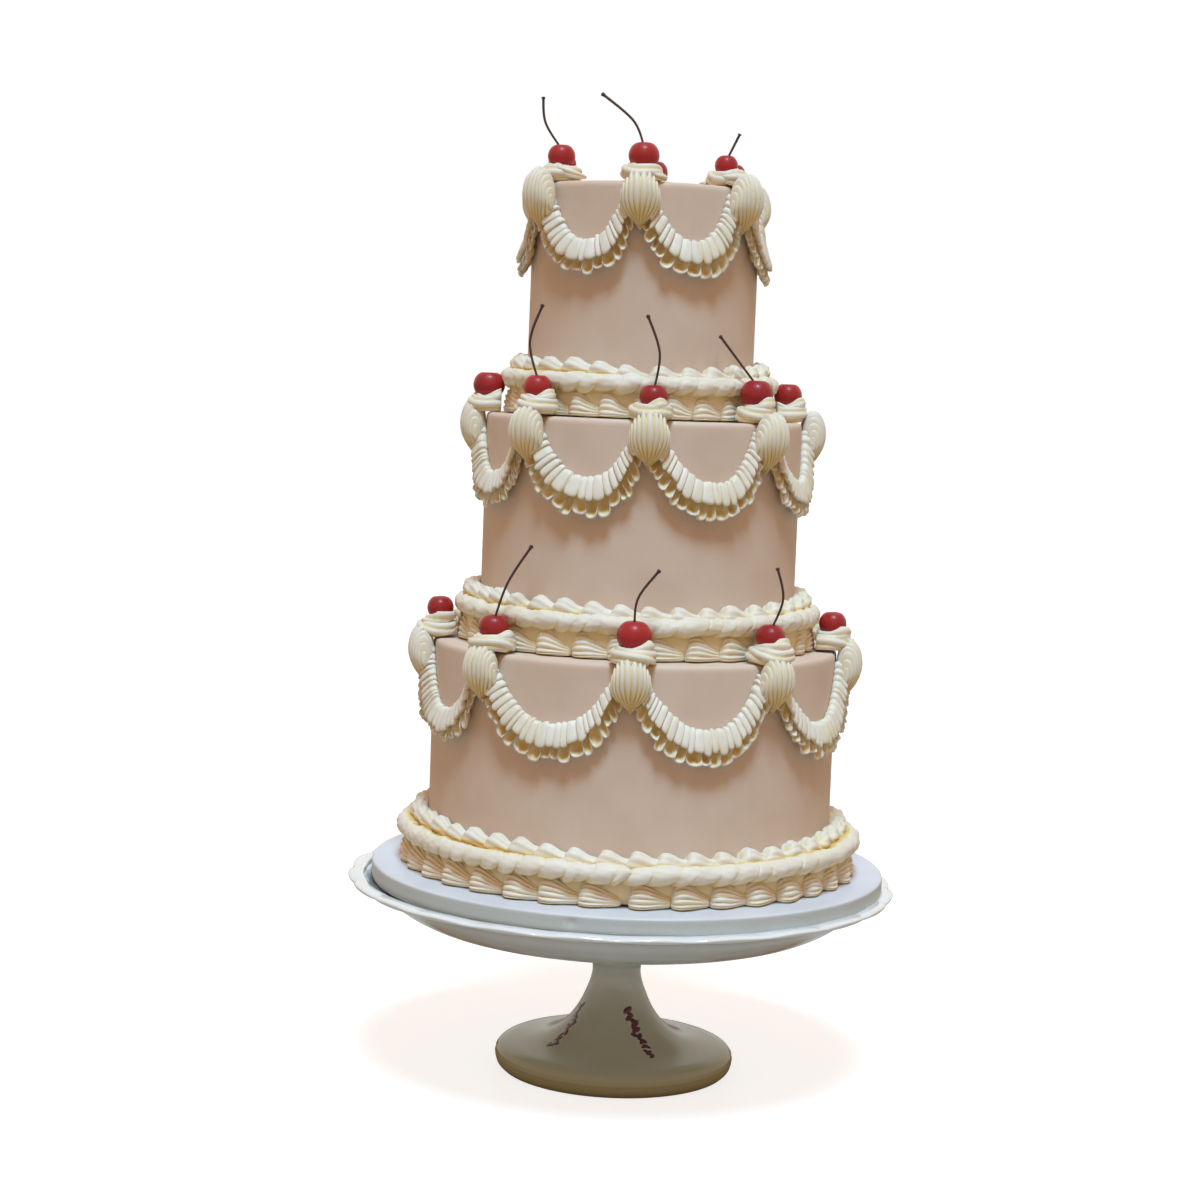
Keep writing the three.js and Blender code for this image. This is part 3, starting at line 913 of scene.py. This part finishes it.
def make_scallops(tier):
    """The shells over the joints: ribs that arch over a round head and run down to a tail."""
    rng = random.Random("scallop" + tier.name)
    bm, groove = new_mesh()
    for joint in tier.joints:
        ribs = rng.choice((11, 12, 13))
        size = 1 + rng.uniform(-0.05, 0.05)
        middle = math.radians(joint)
        hang = rng.uniform(-1.0, 1.0)
        fingers = [rng.uniform(-0.9, 0.9) for _ in range(ribs + 1)]
        swirl = rng.choice((-1, 1)) * 0.5

        def point(turn, way):
            angle = (turn % 1.0) * TAU
            up, out = math.cos(angle), math.sin(angle)
            rib, part = fold_part(way, ribs)
            side = 2 * (rib + part) / ribs - 1
            lean = side * math.pi / 2
            dome = max(0.0, math.cos(lean)) ** 0.84
            crest = ridge(part, 0.62)
            tail = max(0.0, -up) * dome
            cap = smooth_step(0.5, 0.85, abs(side))
            deep = lerp(0.17, 0.32, cap) + 0.14 * max(0.0, up) ** 3
            cut = 1 - deep * (1 - crest) * (1 - 0.75 * smooth_step(0.1, 0.8, tail))
            head = SHELL_HEAD * size + fingers[rib] * max(0.0, up) ** 2
            head += 2.8 * math.sin(middle) ** 2
            rise = head if up > 0 else SHELL_TAIL + hang
            depth = (SHELL_BULGE if out > 0 else 7.0) * (1 - 0.3 * tail ** 2)
            proud = 7.0 - 5.0 * tail ** 2 + depth * out * dome * cut
            height = lerp(SHELL_CENTRE, SHELL_POLE, side * side) + rise * up * dome * cut
            spread = math.copysign(abs(math.sin(lean)) ** 0.84, side)
            narrow = lerp(1.0, 0.12, smooth_step(0.1, 1.0, tail))
            across = SHELL_HALF_WIDTH * size * spread * narrow + swirl * max(0.0, up) * dome
            azimuth = middle + across / tier.radius
            place = on_ring(tier.axis, tier.radius + max(proud, -1.5), azimuth, tier.top + height)
            # Painted shade: in the valleys between ribs, most at the sides, and over the lower
            # half down to the tail.
            shade = (1 - crest) * lerp(0.75, 0.95, cap) + smooth_step(0.1, 0.65, tail) * 0.8
            return place, min(1.0, shade)

        skin(bm, groove, 36, ribs * 6, point)
    add_piece("scallops_" + tier.name, bm, CREAM, ["garland_" + tier.name])


for tier in TIERS:
    make_ribbons(tier)
    make_ruffles(tier)
    make_scallops(tier)


# ---- the rosettes, the cherries and their stems ----

ROPE_TURNS = 1.85


def make_rosette(tier, index):
    """A ribbed rope wound inwards, whose end sweeps out over the side of the collar."""
    rng = random.Random("rosette" + tier.name + str(index))
    lift = tier.lifts[index]
    azimuth = math.radians(tier.toppings[index])
    centre = on_ring(ring_axis(tier), tier.ring, azimuth, tier.top + GAP)
    scale = tier.rosette / 14
    # On the lower tiers the end flicks up; on the top tier it runs down towards the middle.
    rising = tier.pressed_at is not None
    side = 1 if rising or math.sin(azimuth) < 0.1 else -1
    finish = side * math.pi / 2 - azimuth + rng.uniform(-0.6, 0.4)
    begin = finish - ROPE_TURNS * TAU
    offset = rng.uniform(0, 50)
    flick = rng.uniform(0.7, 1.15)
    bm, groove = new_mesh()

    def point(turn, way):
        angle = (turn % 1.0) * TAU
        wind = begin + way * ROPE_TURNS * TAU
        inward = smooth_step(0.25, 0.8, way)
        flicked = smooth_step(0.84, 0.97, way) * flick
        wobble = noise.noise(Vector((way * 6 + offset, 0, 0)))
        ring = lerp(9.7, 7.3, inward) + 2.0 * wobble * (1 - 0.5 * inward)
        ring += (3.4 if rising else 8.0) * flicked
        height = lerp(4.4, 6.6 + lift, inward)
        height += 2.3 * noise.noise(Vector((0, way * 5 + offset, 0)))
        height += (3.4 if rising else -3.6) * flicked
        rope = lerp(5.0, 4.1, inward) * lerp(1.0, 0.6, flicked)
        rope *= min(1.0, way * 12) ** 0.5 * max(0.0, min(1.0, (1 - way) * 16)) ** 0.5
        crest = ridge(turn * 5 + way * 4.5 + 0.25 * math.sin(way * 21 + offset), 0.7)
        rope *= 1 - 0.34 * (1 - crest)
        away = (ring + rope * math.cos(angle)) * scale
        tall = lerp(1.0, 2.1 if rising else 1.0, flicked)
        up = min(max(0.0, height + tall * rope * math.sin(angle)), 15.0)
        spot = Vector((away * math.sin(wind), -away * math.cos(wind), up))
        if rising:
            spot.y = min(spot.y, tier.pressed_at)
        place = Matrix.Rotation(azimuth, 3, "Z") @ spot + centre
        # Painted shade: in the valleys between the ribs and on the rope low down by the tier's
        # top.
        low = smooth_step(2.5, 0.0, up)
        return place, min(1.0, (1 - crest) * 0.85 + 0.5 * low)

    skin(bm, groove, 36, 96, point)
    name = f"{tier.name}_{index + 1}"
    add_piece("swirl_" + name, bm, CREAM, ["rosette_" + name])


def ring_axis(tier):
    """The rosettes stand round the tier above, or round their own tier at the top."""
    above = {"bottom": "middle", "middle": "top", "top": "top"}[tier.name]
    low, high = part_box("tier_" + above)
    return (low[0] + high[0]) / 2 / MM


def resting_height(tier, radius):
    """The height at which a cherry rests in the rosette's bowl."""
    slope = math.atan2(ROSETTE_HEIGHT - ROSETTE_BOWL, tier.rosette * ROSETTE_CREST)
    return GAP + ROSETTE_BOWL + (radius + GAP) / math.cos(slope)


def make_cherry(tier, index):
    rng = random.Random("cherry" + tier.name + str(index))
    radius = tier.cherries[index] / 2
    azimuth = math.radians(tier.toppings[index])
    height = tier.top + tier.lifts[index] + resting_height(tier, radius)
    centre = on_ring(ring_axis(tier), tier.ring, azimuth, height)
    torn = tier.stems[index] is None
    bm, groove = new_mesh()
    heading = rng.uniform(0, TAU)
    squat = rng.uniform(0.93, 1.0)

    def point(turn, way):
        angle = (turn % 1.0) * TAU
        polar = math.pi * way
        flat = radius * math.sin(polar) ** 0.93 if 0 < way < 1 else 0.0
        tall = -radius * math.cos(polar)
        lobes = 1 + 0.025 * math.cos(2 * angle + heading) + 0.015 * math.cos(3 * angle - heading)
        dip = math.exp(-(flat / (0.3 * radius)) ** 2) if tall > 0 else 0.0
        ragged = 1 + (0.3 * math.sin(angle * 4 + heading) * flat / radius if torn else 0.0)
        up = tall * (squat if tall > 0 else 1.0) - (0.4 if torn else 0.2) * radius * dip * ragged
        shrink = 1 - 0.05 * smooth_step(0.0, -1.0, tall / radius)
        wrinkle = 0.14 * noise.noise(Vector((math.cos(angle) * 3, math.sin(angle) * 3, way * 6)))
        away = flat * (lobes * shrink * 1.03 + wrinkle / radius)
        return centre + Vector((away * math.sin(angle), -away * math.cos(angle), up)), dip

    skin(bm, groove, 40, 30, point)
    name = f"{tier.name}_{index + 1}"
    add_piece("fruit_" + name, bm, CHERRY, ["cherry_" + name])
    if not torn:
        make_stem(tier, index, centre, radius)


def make_stem(tier, index, centre, radius):
    """A thin bowed stalk with a knob at its end."""
    lean, rise, bow = tier.stems[index]
    start = 0.5 * radius
    spine = ((0, 0, start), (lean / 2 + bow, 0, lerp(start, rise, 0.5)), (lean, 0, rise))
    bm, groove = new_mesh()

    def point(turn, way):
        angle = (turn % 1.0) * TAU
        here = Vector(along_points(spine, way))
        ahead = Vector(along_points(spine, min(way + 0.01, 1.0)))
        behind = Vector(along_points(spine, max(way - 0.01, 0.0)))
        run = (ahead - behind).normalized()
        side = Vector((0, 1, 0))
        across = run.cross(side)
        thick = lerp(0.62, 0.78, way) + 0.45 * smooth_step(0.9, 0.97, way)
        thick *= 1.0 if 0.0 < way < 1.0 else 0.0
        spot = here + thick * (side * math.sin(angle) + across * math.cos(angle))
        return centre + spot, 0.0

    skin(bm, groove, 10, 40, point)
    name = f"{tier.name}_{index + 1}"
    add_piece("stalk_" + name, bm, STEM, ["cherry_" + name])


for tier in TIERS:
    for index in range(len(tier.toppings)):
        make_rosette(tier, index)
        make_cherry(tier, index)


# ---- the floor and the light ----

KEY_COLOUR = (0.48, 0.78, 1.0)


def make_floor():
    """A pale floor; it gives the piece a darker, olive bounce than its own white would."""
    bm = bmesh.new()
    bmesh.ops.create_grid(bm, x_segments=1, y_segments=1, size=12)
    mesh = bpy.data.meshes.new("floor")
    bm.to_mesh(mesh)
    bm.free()
    floor = bpy.data.objects.new("floor", mesh)
    bpy.context.scene.collection.objects.link(floor)
    material = bpy.data.materials.new("pale_floor")
    material.use_nodes = True
    tree = material.node_tree
    seen = tree.nodes["Principled BSDF"]
    seen.inputs["Base Color"].default_value = (0.36, 0.36, 0.36, 1)
    seen.inputs["Roughness"].default_value = 0.9
    seen.inputs["Emission Color"].default_value = (1, 1, 1, 1)
    seen.inputs["Emission Strength"].default_value = 0.78
    bounce = tree.nodes.new("ShaderNodeBsdfDiffuse")
    bounce.inputs["Color"].default_value = (0.42, 0.42, 0.38, 1)
    path = tree.nodes.new("ShaderNodeLightPath")
    mix = tree.nodes.new("ShaderNodeMixShader")
    tree.links.new(path.outputs["Is Camera Ray"], mix.inputs["Fac"])
    tree.links.new(bounce.outputs["BSDF"], mix.inputs[1])
    tree.links.new(seen.outputs["BSDF"], mix.inputs[2])
    tree.links.new(mix.outputs["Shader"], tree.nodes["Material Output"].inputs["Surface"])
    mesh.materials.append(material)


def add_key(azimuth, elevation, spread, strength, glossy=True):
    """A large soft light far away, so that it is as strong at the top as at the foot."""
    data = bpy.data.lights.new("key", "SUN")
    data.angle = math.radians(spread)
    data.energy = strength
    data.color = KEY_COLOUR
    light = bpy.data.objects.new("key", data)
    bpy.context.scene.collection.objects.link(light)
    light.visible_glossy = glossy
    turn = Matrix.Rotation(math.radians(azimuth), 4, "Z")
    light.matrix_world = turn @ Matrix.Rotation(math.radians(90 - elevation), 4, "X")


def make_world():
    """Warm light from all round, paler in reflections, and plain white behind the cake."""
    world = bpy.data.worlds.new("studio")
    bpy.context.scene.world = world
    world.use_nodes = True
    tree = world.node_tree
    warm = tree.nodes["Background"]
    place = tree.nodes.new("ShaderNodeTexCoord")
    split = tree.nodes.new("ShaderNodeSeparateXYZ")
    tree.links.new(place.outputs["Generated"], split.inputs["Vector"])
    warm.inputs["Color"].default_value = (1.0, 0.46, 0.09, 1.0)
    strength = ramp_value(tree, split.outputs["Z"], 0.0, 0.45, 0.33, 0.56)
    tree.links.new(strength, warm.inputs["Strength"])
    pale = tree.nodes.new("ShaderNodeBackground")
    pale.inputs["Color"].default_value = (1.0, 0.96, 0.88, 1)
    pale.inputs["Strength"].default_value = 0.9
    white = tree.nodes.new("ShaderNodeBackground")
    white.inputs["Color"].default_value = (1, 1, 1, 1)
    white.inputs["Strength"].default_value = 1.0
    path = tree.nodes.new("ShaderNodeLightPath")
    shine = tree.nodes.new("ShaderNodeMixShader")
    tree.links.new(path.outputs["Is Glossy Ray"], shine.inputs["Fac"])
    tree.links.new(warm.outputs["Background"], shine.inputs[1])
    tree.links.new(pale.outputs["Background"], shine.inputs[2])
    mix = tree.nodes.new("ShaderNodeMixShader")
    tree.links.new(path.outputs["Is Camera Ray"], mix.inputs["Fac"])
    tree.links.new(shine.outputs["Shader"], mix.inputs[1])
    tree.links.new(white.outputs["Background"], mix.inputs[2])
    tree.links.new(mix.outputs["Shader"], tree.nodes["World Output"].inputs["Surface"])


make_floor()
make_world()
add_key(azimuth=4, elevation=66, spread=16, strength=3.25)
# A low one behind, so that the hidden side doesn't stay in the warm shade.
add_key(azimuth=180, elevation=6, spread=20, strength=1.3, glossy=False)
bpy.context.scene.view_settings.view_transform = "Standard"
